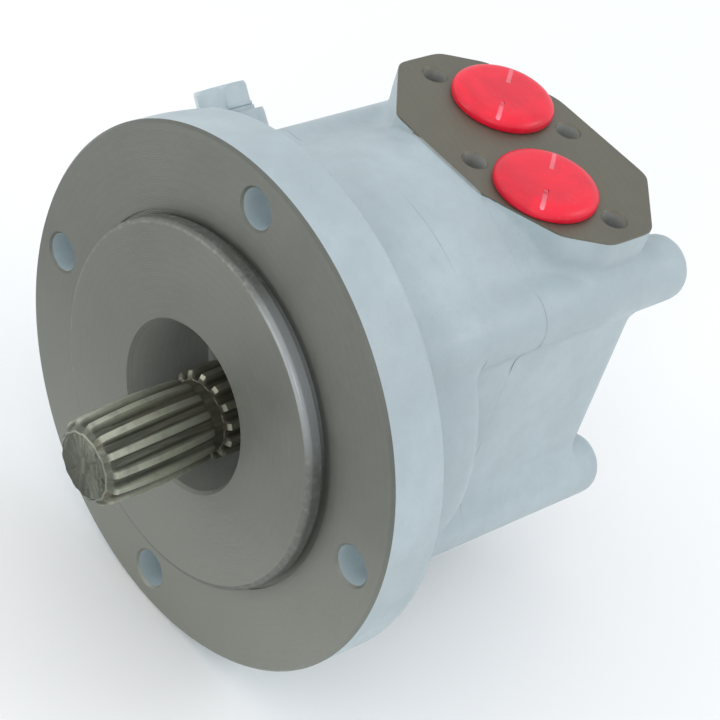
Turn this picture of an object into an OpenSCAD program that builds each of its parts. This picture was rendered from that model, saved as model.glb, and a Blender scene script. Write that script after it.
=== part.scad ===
// Hydraulic gear pump with a round four-bolt flange and a loose splined coupling shaft.
// The pump axis is Y, the shaft end points to -Y and the port face looks to +Z.
// The origin is the centre of the flange's mounting face.

/* [Mounting flange] */
// Diameter of the round mounting flange
flange_d = 188; // [184:1:230]
// Thickness of the flange rim
flange_t = 22; // [16:1:26]
// Diameter of the locating pilot
pilot_d = 127; // [110:1:132]
// Height of the pilot above the mounting face
pilot_h = 7; // [5:0.5:12]
// Diameter of the circle through the mounting holes
bolt_circle_d = 162; // [154:1:164]
// Diameter of each mounting hole
bolt_hole_d = 13.5; // [9:0.5:15]
// Diameter of the open bore around the shaft
front_bore_d = 58; // [50:1:70]
// Depth of the open bore behind the mounting face
front_bore_depth = 28; // [26:1:30]

/* [Casting] */
// Width over the side flats of the body
body_w = 104; // [98:1:124]
// Distance between neighbouring housing screws
screw_pitch = 95.4; // [93:0.2:114]
// Radius of the ridge around each housing screw
ridge_r = 12; // [11:0.5:15]
// Diameter of the round barrel behind the flange
barrel_d = 148; // [146:1:176]
// Distance from the mounting face to the first joint face
front_len = 60; // [58:1:72]
// Length of the gear plate
plate_len = 26; // [20:0.5:34]
// Length of the port housing up to its rear face
rear_len = 59; // [56:1:75]
// How far the corner bosses stand out behind the rear face
boss_out = 14; // [13:1:22]

/* [Port face] */
// Height of the port face above the pump axis
pad_z = 75; // [74:1:90]
// Length of the port face across the pump
pad_len = 107; // [100:1:130]
// Width of the port face along the pump
pad_w = 66; // [62:1:72]
// Distance of each port from the middle of the pad, across the pump
port_x = 22; // [20:0.5:26]
// Distance of each port from the middle of the pad, along the pump
port_y = 10; // [8:0.5:12]
// Inside diameter of the port threads
port_d = 24.2; // [20:0.1:26]
// Depth of the port threads
port_depth = 18; // [14:1:19]
// Distance from a port to its two screw holes, across the pump
port_screw_x = 21.5; // [20:0.5:23]
// Distance from a port to its two screw holes, along the pump
port_screw_y = 13; // [12:0.5:14]
// Tapping diameter of the port screw holes
port_screw_d = 8.5; // [5:0.1:8.5]

/* [Gears] */
// Module of the gears
gear_module = 3; // [2.5:0.1:3.1]
// Number of teeth on each gear
gear_teeth = 14; // [12:1:14]
// Pressure angle of the gears
pressure_angle = 25; // [20:1:28]
// Radius of the hollow journals of the drive gear
drive_journal_r = 17; // [16.5:0.1:17.2]
// Radius of the driven gear's journals
driven_journal_r = 10; // [8:0.5:12]
// Wall of each plain bearing bush
bush_wall = 3; // [2:0.25:3.5]
// Thickness of each wear plate
wear_t = 3.5; // [2.5:0.5:5]

/* [Coupling shaft] */
// Outside diameter of the shaft's front spline
spline_d = 31.2; // [24:0.2:34]
// Number of teeth on the front spline
spline_teeth = 14; // [10:1:18]
// How far the shaft reaches in front of the mounting face
shaft_out = 47; // [35:1:60]
// Radius of the plain neck of the shaft
neck_r = 10.3; // [8:0.1:10.5]
// Angle by which the loose shaft droops to its stop
droop_deg = 3.9; // [1:0.1:3.9]
// Direction of the droop, turned from straight down towards +X
droop_lean = 22; // [0:1:45]

/* [Plugs and screws] */
// Diameter of the round heads of the plastic port plugs
plug_head_d = 37; // [30:0.5:40]
// Thickness of the rim of a port plug's head
plug_rim_t = 3; // [2:0.5:5]
// Rise of the domed head above its rim
plug_dome = 2; // [1:0.5:4]
// Thread diameter of the housing screws
screw_d = 10; // [8:1:10]
// Width across the flats of the hexagon on the drain plug
drain_af = 17; // [14:1:24]
// Thread diameter of the drain plug
drain_d = 13; // [10:0.5:14]
// How far the drain boss stands out of its ridge
drain_boss_out = 8.54; // [6:0.02:21]

/* [Hidden] */
$fn = 96;

// Clearances between pieces
press_gap = 0.02;
running_gap = 0.05;
tip_gap = 0.1;
side_gap = 0.1;
thread_gap = 0.06;
plug_gap = 0.1;
flank_play = 0.55;
stop_gap = 0.3;
cut = 1;

// Places along the pump axis
joint_1 = front_len;
joint_2 = front_len + plate_len;
rear_face = joint_2 + rear_len;
boss_end = rear_face + boss_out;
seal_t = 8;
circlip_t = 1.5;
seal_seat_end = front_bore_depth + circlip_t + 1 + seal_t;
drain_gallery = 5;
bush_start = seal_seat_end + drain_gallery;
journal_front = seal_seat_end - seal_t - 1;
rear_bush_len = 14;
gear_start = joint_1 + wear_t + side_gap;
gear_end = joint_2 - wear_t - side_gap;

// Radii inside the castings
corner = screw_pitch / 2;
half_w = body_w / 2;
barrel_r = barrel_d / 2;
seal_r = drive_journal_r + 7.5;
drive_bush_r = drive_journal_r + bush_wall;
driven_bush_r = driven_journal_r + bush_wall;
centre_dist = gear_module * gear_teeth;
pitch_r = centre_dist / 2;
tip_r = pitch_r + gear_module;
root_r = pitch_r - 1.25 * gear_module;
chamber_r = tip_r + tip_gap;

// Oil passages and joint rings
passage_r = 9;
passage_x = 27;
passage_z = pitch_r;
riser_r = 8;
slot_half = 6;
ring_cord_r = 1.25;
ring_path_r = pitch_r + chamber_r + 2.4;
groove_gap = 0.15;

// Port pad
pad_rear = joint_2 + 0.5 + pad_w;
pad_y = pad_rear - pad_w / 2;
pad_skirt = 9;
port_screw_depth = 16;
port_a = [-port_x, pad_y + port_y];
port_b = [port_x, pad_y - port_y];

// Shaft
pivot_y = joint_1 + 20;
inner_spline_half = 7;
inner_teeth = 12;
inner_tip_r = 13.1;
inner_root_r = 10.2;
hub_minor_r = 11;
hub_major_r = 13.4;
hub_end = pivot_y + inner_spline_half + 5;
droop_at_mouth = (pivot_y - journal_front) * tan(droop_deg);
journal_bore_r = neck_r + droop_at_mouth + stop_gap;
spline_r = spline_d / 2;
spline_root_r = spline_r - 2.7;
relief_y = -4;
relief_len = 4;
spline_back = 16;

// Screws
screw_r = screw_d / 2;
screw_hole_r = screw_r + 0.5;
head_r = screw_d * 0.8;
counterbore_r = head_r + 1;
counterbore_depth = screw_d + 3;
screw_seat = boss_end - counterbore_depth;
washer_t = 2;
screw_tip = joint_1 - 1.2 * screw_d;
dowel_r = 3;
dowel_half = 7;
dowel_spot = [half_w - dowel_r - 3, -10];
drain_y = bush_start - drain_gallery / 2;
drain_washer_t = 1.5;
drain_boss_r = 13;
drain_seat = corner * sqrt(2) + ridge_r + drain_boss_out;
drain_thread_len = 12;
plug_stem_len = port_depth - 3;
plug_stem_r = port_d / 2 - plug_gap;
plug_wall = 2;

iron = "#aeb9c2";
machined = "#77756d";
steel = "#9a9a98";
bronze = "#a58a5a";
rubber = "#202020";
plug_red = "#ee2846";

// ---- helpers ----

module along_y(y0, y1) {
    translate([0, y1, 0]) rotate([90, 0, 0]) linear_extrude(y1 - y0) children();
}

module rod(y0, y1, r, x = 0, z = 0) {
    translate([x, y1, z]) rotate([90, 0, 0]) cylinder(h = y1 - y0, r = r);
}

module cone_y(y0, y1, r0, r1, x = 0, z = 0) {
    translate([x, y0, z]) rotate([-90, 0, 0]) cylinder(h = y1 - y0, r1 = r0, r2 = r1);
}

module tube(y0, y1, r_in, r_out, x = 0, z = 0) {
    difference() {
        rod(y0, y1, r_out, x, z);
        rod(y0 - cut, y1 + cut, r_in, x, z);
    }
}

// a ring turned about the pump axis from a half section in [radius, y] pairs
module turned(points) {
    rotate([-90, 0, 0]) rotate_extrude() polygon(points);
}

module corners() {
    for (sx = [-1, 1]) for (sz = [-1, 1]) translate([sx * corner, 0, sz * corner]) children();
}

module o_ring(y, x = 0, z = 0) {
    translate([x, y, z]) rotate([90, 0, 0]) rotate_extrude()
        translate([ring_path_r, 0]) circle(r = ring_cord_r, $fn = 32);
}

// the frame of the drain boss: its local z axis points out of the boss
module drain_frame() {
    translate([0, drain_y, 0]) rotate([0, -45, 0]) children();
}

// ---- outlines across the pump axis ----

// one ridge with its straight blends onto the side flats
module ridge_outline() {
    blend = 16;
    translate([corner, corner]) circle(r = ridge_r);
    polygon([[0, 0], [corner + ridge_r, corner], [half_w, corner - blend]]);
    polygon([[0, 0], [corner, corner + ridge_r], [corner - blend, half_w]]);
}

module body_outline() {
    square([body_w, 2 * corner], center = true);
    square([2 * corner, body_w], center = true);
    for (sx = [0, 1]) for (sy = [0, 1]) mirror([sx, 0]) mirror([0, sy]) ridge_outline();
}

// the round back of the casting between the two upper ridges
module saddle_outline() {
    intersection() {
        circle(r = barrel_r);
        polygon([[0, 0], [-barrel_r, barrel_r], [barrel_r, barrel_r]]);
    }
}

module chamber_outline() {
    circle(r = chamber_r);
    translate([0, centre_dist]) circle(r = chamber_r);
}

module passage_outline(side) {
    translate([side * passage_x, passage_z]) circle(r = passage_r);
    translate([side > 0 ? 0 : -passage_x, passage_z - slot_half])
        square([passage_x, 2 * slot_half]);
}

module dowel_holes(y) {
    for (s = [-1, 1])
        rod(y - dowel_half - press_gap, y + dowel_half + press_gap, dowel_r + press_gap,
            s * dowel_spot[0], dowel_spot[1]);
}

// ---- gear and spline outlines ----

function involute(base, t) =
    [base * (cos(t) + t * PI / 180 * sin(t)), base * (sin(t) - t * PI / 180 * cos(t))];
function turn(p, a) = [p[0] * cos(a) - p[1] * sin(a), p[0] * sin(a) + p[1] * cos(a)];
function roll_angle(base, r) = sqrt(max(0, r * r / (base * base) - 1)) * 180 / PI;

module gear_outline() {
    steps = 7;
    base = pitch_r * cos(pressure_angle);
    inv_pitch = tan(pressure_angle) * 180 / PI - pressure_angle;
    backlash = 0.12;
    half_tooth = 90 / gear_teeth + inv_pitch - backlash / pitch_r * 90 / PI;
    last = roll_angle(base, tip_r);
    flank = [for (i = [0 : steps]) turn(involute(base, last * i / steps), -half_tooth)];
    foot = turn([root_r, 0], -half_tooth - 1);
    tooth = concat([foot], flank, [for (i = [steps : -1 : 0]) [flank[i][0], -flank[i][1]]],
        [[foot[0], -foot[1]]]);
    polygon([for (k = [0 : gear_teeth - 1]) for (p = tooth) turn(p, k * 360 / gear_teeth)]);
}

// straight-sided spline teeth: half widths are lengths at the root and at the tip
module spline_outline(teeth, r_root, r_tip, half_root, half_tip) {
    polygon([for (k = [0 : teeth - 1])
        for (p = [[r_root, -half_root], [r_tip, -half_tip], [r_tip, half_tip],
            [r_root, half_root]]) turn(p, k * 360 / teeth)]);
}

// ---- castings ----

module flange_housing() {
    rim_chamfer = 1;
    pilot_chamfer = 2;
    relief = 1.5;
    relief_dip = 0.6;
    color(iron) difference() {
        union() {
            rod(rim_chamfer, flange_t - 2, flange_d / 2);
            cone_y(0, rim_chamfer, flange_d / 2 - rim_chamfer, flange_d / 2);
            cone_y(flange_t - 2, flange_t, flange_d / 2, flange_d / 2 - 2);
            rod(-pilot_h + pilot_chamfer, 0, pilot_d / 2);
            cone_y(-pilot_h, -pilot_h + pilot_chamfer, pilot_d / 2 - pilot_chamfer, pilot_d / 2);
            rod(flange_t - 1, joint_1 - 4, barrel_r);
            cone_y(joint_1 - 4, joint_1, barrel_r, barrel_r - 4);
            along_y(flange_t - 1, joint_1) body_outline();
            along_y(flange_t - 1, joint_1) saddle_outline();
            drain_frame() cylinder(h = drain_seat, r = drain_boss_r);
        }
        turned([[pilot_d / 2 - relief, -2], [pilot_d / 2 + relief, -2],
            [pilot_d / 2 + relief, relief_dip], [pilot_d / 2 - relief, relief_dip]]);
        for (k = [0 : 3]) rotate([0, k * 90, 0])
            rod(-cut, flange_t + cut, bolt_hole_d / 2, bolt_circle_d / 2, 0);
        rod(-pilot_h - cut, front_bore_depth, front_bore_d / 2);
        cone_y(-pilot_h - 0.01, -pilot_h + 1, front_bore_d / 2 + 1, front_bore_d / 2);
        rod(front_bore_depth - cut, seal_seat_end, seal_r + press_gap);
        rod(front_bore_depth + 0.5, front_bore_depth + 0.5 + circlip_t + 0.2, seal_r + 1.5);
        rod(seal_seat_end - cut, bush_start, seal_r - 2.5);
        rod(bush_start - cut, joint_1 + cut, drive_bush_r + press_gap);
        rod(bush_start, joint_1 + cut, driven_bush_r + press_gap, 0, centre_dist);
        corners() rod(screw_tip - 3, joint_1 + cut, screw_r + thread_gap);
        dowel_holes(joint_1);
        ring_groove(joint_1 - 2 * ring_cord_r - groove_gap, joint_1 + cut);
        drain_frame() {
            translate([0, 0, drain_seat - drain_thread_len - 2])
                cylinder(h = drain_thread_len + 2 + cut, r = drain_d / 2 + thread_gap);
            translate([0, 0, seal_r - 5]) cylinder(h = drain_seat, r = 2.2);
        }
    }
}

module ring_groove(y0, y1) {
    tube_r = ring_cord_r + groove_gap;
    difference() {
        rod(y0, y1, ring_path_r + tube_r, 0, pitch_r);
        rod(y0 - cut, y1 + cut, ring_path_r - tube_r, 0, pitch_r);
    }
}

module gear_plate() {
    color(iron) difference() {
        union() {
            along_y(joint_1, joint_2) body_outline();
            along_y(joint_1, joint_2) saddle_outline();
        }
        along_y(joint_1 - cut, joint_2 + cut) chamber_outline();
        for (s = [-1, 1]) along_y(joint_1 + wear_t, joint_2 + cut) passage_outline(s);
        corners() rod(joint_1 - cut, joint_2 + cut, screw_hole_r);
        dowel_holes(joint_1);
        dowel_holes(joint_2);
    }
}

// the port face's outline seen from above, centred on the pad
module pad_outline() {
    hx = pad_len / 2;
    hy = pad_w / 2;
    half = [[-0.56 * hx, -hy], [0.30 * hx, -hy], [0.80 * hx, -0.66 * hy], [hx, -0.22 * hy]];
    polygon(concat(half, [[hx, 0.36 * hy]], [for (p = half) -p], [[-hx, -0.36 * hy]]));
}

module pad_block() {
    intersection() {
        translate([0, pad_y, 0]) linear_extrude(pad_z) pad_outline();
        rotate([90, 0, 90]) translate([0, 0, -pad_len]) linear_extrude(2 * pad_len)
            polygon([[joint_2, 0], [joint_2, pad_z + cut], [pad_rear + cut, pad_z + cut],
                [pad_rear + cut, pad_z - pad_skirt], [rear_face, pad_z - 3 * pad_skirt],
                [rear_face, 0]]);
        translate([0, pad_y, 0]) rotate([90, 0, 0]) translate([0, 0, -pad_w])
            linear_extrude(2 * pad_w) polygon([[-pad_len, pad_z + cut], [pad_len, pad_z + cut],
                [pad_len / 2 + cut, pad_z - pad_skirt], [corner, corner], [0, 0],
                [-corner, corner], [-pad_len / 2 - cut, pad_z - pad_skirt]]);
    }
}

module port_cut(spot) {
    translate([spot[0], spot[1], passage_z - passage_r / 2]) cylinder(h = pad_z, r = riser_r);
    translate([spot[0], spot[1], pad_z - port_depth]) cylinder(h = port_depth + cut, r = port_d / 2);
    for (s = [-1, 1])
        translate([spot[0] + s * port_screw_x, spot[1] + s * port_screw_y,
            pad_z - port_screw_depth])
            cylinder(h = port_screw_depth + cut, r = port_screw_d / 2);
}

module port_housing() {
    edge = 2;
    color(iron) difference() {
        union() {
            along_y(joint_2, rear_face) body_outline();
            along_y(joint_2, rear_face) saddle_outline();
            pad_block();
            corners() {
                rod(joint_2, boss_end - edge, ridge_r);
                cone_y(boss_end - edge, boss_end, ridge_r, ridge_r - edge);
            }
        }
        port_cut(port_a);
        port_cut(port_b);
        rod(joint_2 - cut, port_a[1], passage_r, -passage_x, passage_z);
        rod(joint_2 - cut, port_b[1], passage_r, passage_x, passage_z);
        rod(joint_2 - cut, joint_2 + rear_bush_len + 1, drive_bush_r + press_gap);
        rod(joint_2 - cut, joint_2 + rear_bush_len + 1, driven_bush_r + press_gap, 0, centre_dist);
        corners() {
            rod(joint_2 - cut, boss_end + cut, screw_hole_r);
            rod(screw_seat, boss_end + cut, counterbore_r);
        }
        dowel_holes(joint_2);
        ring_groove(joint_2 - cut, joint_2 + 2 * ring_cord_r + groove_gap);
    }
}

// ---- gears and shaft ----

module drive_gear() {
    color(steel) difference() {
        union() {
            rod(journal_front, gear_start, drive_journal_r);
            along_y(gear_start, gear_end) gear_outline();
            rod(gear_end, joint_2 + rear_bush_len - 1, drive_journal_r);
        }
        rod(journal_front - cut, pivot_y - inner_spline_half - 1, journal_bore_r);
        along_y(journal_front - cut, hub_end) hub_spline();
        rod(pivot_y + inner_spline_half + 1, hub_end, hub_major_r);
    }
}

// the cavity cut by the internal spline in the drive gear
module hub_spline() {
    circle(r = hub_minor_r);
    spline_outline(inner_teeth, hub_minor_r - 0.3, hub_major_r, 1.4 + flank_play,
        1.05 + flank_play);
}

module driven_gear() {
    color(steel) translate([0, 0, centre_dist]) {
        rod(bush_start + 1, joint_2 + rear_bush_len - 1, driven_journal_r);
        along_y(gear_start, gear_end) rotate(180 / gear_teeth) gear_outline();
    }
}

// a barrel that trims spline teeth to a crowned shape between y0 and y1
module crown(y0, y1, r, arc) {
    mid = (y0 + y1) / 2;
    steps = 10;
    turned(concat([[0, y0]],
        [for (i = [0 : steps]) let (y = y0 + (y1 - y0) * i / steps)
            [r - (arc - sqrt(arc * arc - (y - mid) * (y - mid))), y]],
        [[0, y1]]));
}

module straight_shaft() {
    tip = -shaft_out;
    front_half = (relief_y - tip) / 2;
    crown_arc = 190;
    rod(tip + 1.2, pivot_y - inner_spline_half, neck_r);
    intersection() {
        along_y(tip, relief_y) spline_outline(spline_teeth, spline_root_r, spline_r, 2.1, 1.2);
        crown(tip, relief_y, spline_r, crown_arc);
        union() {
            cone_y(tip, tip + 2, spline_r - 3.2, spline_r);
            rod(tip + 2, relief_y - 1, spline_r);
            cone_y(relief_y - 1, relief_y, spline_r, spline_r - 1);
        }
    }
    rod(relief_y - 1, relief_y + relief_len + 1, spline_root_r - 0.4);
    intersection() {
        along_y(relief_y + relief_len, spline_back)
            spline_outline(spline_teeth, spline_root_r, spline_r, 2.1, 1.2);
        union() {
            cone_y(relief_y + relief_len, relief_y + relief_len + 1, spline_r - 1, spline_r);
            rod(relief_y + relief_len + 1, spline_back - 4, spline_r);
            cone_y(spline_back - 4, spline_back, spline_r, neck_r + 1);
        }
    }
    intersection() {
        along_y(pivot_y - inner_spline_half, pivot_y + inner_spline_half)
            spline_outline(inner_teeth, inner_root_r, inner_tip_r, 1.4, 1.05);
        crown(pivot_y - inner_spline_half, pivot_y + inner_spline_half, inner_tip_r, 40);
    }
}

module coupling_shaft() {
    centre_drill = 3;
    color(bronze) translate([0, pivot_y, 0])
        rotate(a = droop_deg, v = [cos(droop_lean), 0, sin(droop_lean)])
        translate([0, -pivot_y, 0]) difference() {
            straight_shaft();
            cone_y(-shaft_out - 0.1, -shaft_out + 2.5, centre_drill + 1, 1.5);
            rod(-shaft_out, -shaft_out + 7, 1.5);
        }
}

// ---- bearings, wear plates and seals ----

module front_drive_bush() {
    color(bronze)
        tube(bush_start, joint_1 - press_gap, drive_journal_r + running_gap, drive_bush_r);
}

module front_driven_bush() {
    color(bronze) tube(bush_start + press_gap, joint_1 - press_gap,
        driven_journal_r + running_gap, driven_bush_r, 0, centre_dist);
}

module rear_drive_bush() {
    color(bronze) tube(joint_2 + press_gap, joint_2 + rear_bush_len,
        drive_journal_r + running_gap, drive_bush_r);
}

module rear_driven_bush() {
    color(bronze) tube(joint_2 + press_gap, joint_2 + rear_bush_len,
        driven_journal_r + running_gap, driven_bush_r, 0, centre_dist);
}

module wear_plate(y0) {
    color(bronze) difference() {
        along_y(y0 + press_gap, y0 + wear_t - press_gap) {
            circle(r = chamber_r - press_gap);
            translate([0, centre_dist]) circle(r = chamber_r - press_gap);
        }
        rod(y0 - cut, y0 + wear_t + cut, drive_journal_r + 3 * running_gap);
        rod(y0 - cut, y0 + wear_t + cut, driven_journal_r + 3 * running_gap, 0, centre_dist);
    }
}

module front_wear_plate() {
    wear_plate(joint_1);
}

module rear_wear_plate() {
    wear_plate(joint_2 - wear_t);
}

module front_joint_ring() {
    color(rubber) o_ring(joint_1 - ring_cord_r - press_gap, 0, pitch_r);
}

module rear_joint_ring() {
    color(rubber) o_ring(joint_2 + ring_cord_r + press_gap, 0, pitch_r);
}

// lip seal: a flat case with a lip that leans back towards the gears
module shaft_seal() {
    y0 = seal_seat_end - seal_t;
    lip_r = drive_journal_r + running_gap;
    color(rubber) turned([[lip_r + 1.2, y0], [seal_r, y0], [seal_r, y0 + seal_t - press_gap],
        [seal_r - 1.5, y0 + seal_t - press_gap], [seal_r - 1.5, y0 + 2], [lip_r + 2.6, y0 + 2],
        [lip_r + 2.6, y0 + 4], [lip_r + 2, y0 + 6.2], [lip_r + 0.6, y0 + 6.2],
        [lip_r, y0 + 5], [lip_r + 1.2, y0 + 3]]);
}

module garter_spring() {
    y = seal_seat_end - seal_t + 5;
    color(steel) translate([0, y, 0]) rotate([90, 0, 0]) rotate_extrude()
        translate([drive_journal_r + 3.6, 0]) circle(r = 0.9, $fn = 24);
}

module seal_circlip() {
    lug = 3;
    y0 = front_bore_depth + 0.6;
    color(steel) difference() {
        union() {
            tube(y0, y0 + circlip_t, seal_r - 2, seal_r + 1.3);
            for (a = [-12, 12]) rotate([0, a, 0])
                rod(y0, y0 + circlip_t, lug, 0, -seal_r + 3);
        }
        for (a = [-12, 12]) rotate([0, a, 0])
            rod(y0 - cut, y0 + circlip_t + cut, 1.1, 0, -seal_r + 3);
        translate([-2.6, y0 - cut, -seal_r - 4]) cube([5.2, circlip_t + 2 * cut, 8]);
    }
}

// ---- screws, pins and plugs ----

module socket_screw() {
    y = screw_seat + washer_t;
    difference() {
        union() {
            rod(screw_tip, y, screw_r);
            rod(y, y + screw_d - 1, head_r);
            cone_y(y + screw_d - 1, y + screw_d, head_r, head_r - 1);
        }
        along_y(y + screw_d / 2, y + screw_d + cut) circle(r = screw_d * 0.46, $fn = 6);
    }
}

module housing_screws() {
    color(steel) corners() socket_screw();
}

module screw_washers() {
    color(steel) corners()
        tube(screw_seat + press_gap, screw_seat + washer_t - press_gap, screw_r + 0.25, head_r);
}

module dowel_pins() {
    color(steel) for (y = [joint_1, joint_2]) for (s = [-1, 1])
        rod(y - dowel_half, y + dowel_half, dowel_r, s * dowel_spot[0], dowel_spot[1]);
}

module drain_plug() {
    head = drain_seat + drain_washer_t + press_gap;
    collar = 1.5;
    hexagon = 7;
    color(iron) drain_frame() {
        translate([0, 0, drain_seat - drain_thread_len])
            cylinder(h = drain_thread_len + 3, r = drain_d / 2);
        translate([0, 0, head]) cylinder(h = collar, r = drain_af * 0.56);
        intersection() {
            translate([0, 0, head]) cylinder(h = collar + hexagon, r = drain_af / sqrt(3), $fn = 6);
            translate([0, 0, head]) cylinder(h = collar + hexagon, r1 = drain_af * 0.75,
                r2 = drain_af * 0.53);
        }
    }
}

module drain_washer() {
    color(bronze) drain_frame() difference() {
        translate([0, 0, drain_seat + press_gap])
            cylinder(h = drain_washer_t - press_gap, r = drain_af * 0.58);
        cylinder(h = 2 * drain_seat, r = drain_d / 2 + 0.1);
    }
}

// plastic plug: hollow stem, round rim, low dome and a slot broken in the middle
module port_plug() {
    r = plug_head_d / 2;
    slot_w = 1.6;
    slot_deep = 1;
    crown_top = plug_rim_t + plug_dome;
    color(plug_red) difference() {
        union() {
            translate([0, 0, -plug_stem_len]) cylinder(h = plug_stem_len + 1, r = plug_stem_r);
            rotate_extrude() polygon(concat([[0, press_gap], [r - 0.6, press_gap], [r, 0.8]],
                [for (i = [0 : 8]) let (a = i * 90 / 8)
                    [r * (0.72 + 0.28 * cos(a)), plug_rim_t * 0.75
                        + (crown_top - plug_rim_t * 0.75) * sin(a)]],
                [[0, crown_top]]));
        }
        translate([0, 0, -plug_stem_len - cut])
            cylinder(h = plug_stem_len + cut, r = plug_stem_r - plug_wall);
        rotate(-51) for (s = [-1, 1])
            translate([s * r * 0.66 - r * 0.24, -slot_w / 2, crown_top - slot_deep])
                cube([r * 0.6, slot_w, plug_dome + 2]);
    }
}

module port_plug_a() {
    translate([port_a[0], port_a[1], pad_z]) port_plug();
}

module port_plug_b() {
    translate([port_b[0], port_b[1], pad_z]) port_plug();
}

flange_housing();
gear_plate();
port_housing();
drive_gear();
driven_gear();
coupling_shaft();
front_drive_bush();
front_driven_bush();
rear_drive_bush();
rear_driven_bush();
front_wear_plate();
rear_wear_plate();
front_joint_ring();
rear_joint_ring();
shaft_seal();
garter_spring();
seal_circlip();
housing_screws();
screw_washers();
dowel_pins();
drain_plug();
drain_washer();
port_plug_a();
port_plug_b();
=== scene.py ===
"""Looks of a hydraulic gear pump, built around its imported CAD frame."""

import math

import bmesh
import bpy
from bpy.props import FloatProperty, FloatVectorProperty, IntProperty, PointerProperty
from mathutils import Matrix, Vector


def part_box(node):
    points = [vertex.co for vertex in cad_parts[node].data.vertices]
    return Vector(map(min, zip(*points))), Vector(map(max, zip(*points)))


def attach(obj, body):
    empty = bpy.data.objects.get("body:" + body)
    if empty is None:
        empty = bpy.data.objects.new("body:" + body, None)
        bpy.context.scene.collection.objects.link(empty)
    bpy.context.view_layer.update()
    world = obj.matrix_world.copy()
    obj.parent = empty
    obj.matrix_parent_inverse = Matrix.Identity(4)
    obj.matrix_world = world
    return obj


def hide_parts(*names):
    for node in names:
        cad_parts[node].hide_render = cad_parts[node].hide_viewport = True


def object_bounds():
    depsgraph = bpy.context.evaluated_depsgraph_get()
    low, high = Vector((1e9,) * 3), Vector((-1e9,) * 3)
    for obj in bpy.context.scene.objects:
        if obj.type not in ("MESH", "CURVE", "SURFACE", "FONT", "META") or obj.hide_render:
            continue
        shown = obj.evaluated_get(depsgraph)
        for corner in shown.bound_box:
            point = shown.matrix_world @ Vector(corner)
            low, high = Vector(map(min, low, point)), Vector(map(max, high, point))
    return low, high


bl_info = {
    "name": "Hydraulic gear pump",
    "version": (1, 0, 0),
    "blender": (4, 5, 0),
    "location": "View3D > Sidebar > Pump",
    "description": "Builds the castings, shaft, plugs and screws of a flange-mounted gear pump",
    "category": "Object",
}

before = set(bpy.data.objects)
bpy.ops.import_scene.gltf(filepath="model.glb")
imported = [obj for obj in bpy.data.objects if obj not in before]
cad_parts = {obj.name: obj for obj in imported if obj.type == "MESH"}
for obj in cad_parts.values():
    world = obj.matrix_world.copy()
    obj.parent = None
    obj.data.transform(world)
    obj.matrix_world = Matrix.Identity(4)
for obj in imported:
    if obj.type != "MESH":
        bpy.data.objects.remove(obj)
CAD_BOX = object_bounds()

FLANGE_LO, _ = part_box("flange_housing")
PLATE_LO, PLATE_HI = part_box("gear_plate")
_, PORT_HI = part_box("port_housing")
PLUG_A_LO, PLUG_A_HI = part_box("port_plug_a")
PLUG_B_LO, PLUG_B_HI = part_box("port_plug_b")
SCREWS_LO, SCREWS_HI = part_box("housing_screws")


# Places inside the castings that several pieces share, in metres.
GEAR_SPREAD = 0.042  # height of the driven gear's axis over the drive gear's
GEAR_MIDDLE = GEAR_SPREAD / 2
GALLERY_X, GALLERY_RADIUS = 0.027, 0.009
DOWEL_X, DOWEL_Z, DOWEL_HOLE, DOWEL_DEPTH = 0.046, -0.010, 0.00302, 0.00702
DOWEL_PLACES = [(side * DOWEL_X, DOWEL_Z) for side in (-1, 1)]
SCREW_HOLE = 0.0055
SCREW_SEAT = 0.146
BUSH_HOLE, DRIVEN_HOLE = 0.02002, 0.01302
PORT_X, PORT_SPOTS = 0.022, ((-1, 0.1295), (1, 0.1095))
DRAIN_Y, DRAIN_SEAT = 0.041, 0.088
SHAFT_PIVOT = Vector((0, 0.08, 0))
HAIR = 0.00005  # tells a cut face from the skin beside it

ALONG_Y = Matrix.Rotation(-math.pi / 2, 3, "X")
ALONG_Z = Matrix.Rotation(math.pi / 2, 3, "X")
TO_BOSS = Matrix.Rotation(-math.pi / 4, 3, "Y")


# ---- sizes and colours ----


def length(name, description, default):
    return FloatProperty(name=name, description=description, default=default, unit="LENGTH")


def turn(name, description, degrees):
    return FloatProperty(
        name=name, description=description, default=math.radians(degrees), unit="ROTATION"
    )


def count(name, description, default):
    return IntProperty(name=name, description=description, default=default)


def tint(name, description, default):
    return FloatVectorProperty(name=name, description=description, default=default, subtype="COLOR")


class PumpCastingSizes(bpy.types.PropertyGroup):
    flange_radius: length("Flange radius", "Outside radius of the round mounting flange", 0.094)
    flange_thickness: length("Flange thickness", "Thickness of the flange rim", 0.022)
    pilot_radius: length("Pilot radius", "Radius of the raised round locating step", 0.0635)
    pilot_height: length(
        "Pilot height", "How far the locating step stands in front of the mounting face", -FLANGE_LO.y
    )
    bolt_circle_radius: length(
        "Bolt circle radius", "Distance of the mounting holes from the pump axis", 0.081
    )
    bolt_hole_radius: length("Bolt hole radius", "Radius of each mounting hole", 0.00675)
    bore_radius: length("Front bore radius", "Radius of the open bore around the shaft", 0.029)
    bore_depth: length(
        "Front bore depth", "Depth of the open bore behind the mounting face", 0.028
    )
    barrel_radius: length(
        "Barrel radius", "Radius of the round barrel and back of the casting", 0.074
    )
    body_half: length("Body half width", "Distance of the flat sides from the pump axis", 0.052)
    corner: length(
        "Screw offset",
        "Distance of each housing screw from the pump axis, along X and along Z",
        SCREWS_HI.x - 0.008,
    )
    ridge_radius: length("Ridge radius", "Radius of the ridge around each housing screw", 0.012)
    rear_face: length(
        "Rear face",
        "Distance of the casting's flat rear face from the mounting face",
        PORT_HI.y - 0.014,
    )
    grain: length(
        "Casting grain", "Size of the cells from which the soft cast surface is formed", 0.0015
    )
    softening: count(
        "Fillet softening",
        "How many times the rough casting is smoothed, which sets its fillets",
        16,
    )


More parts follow.
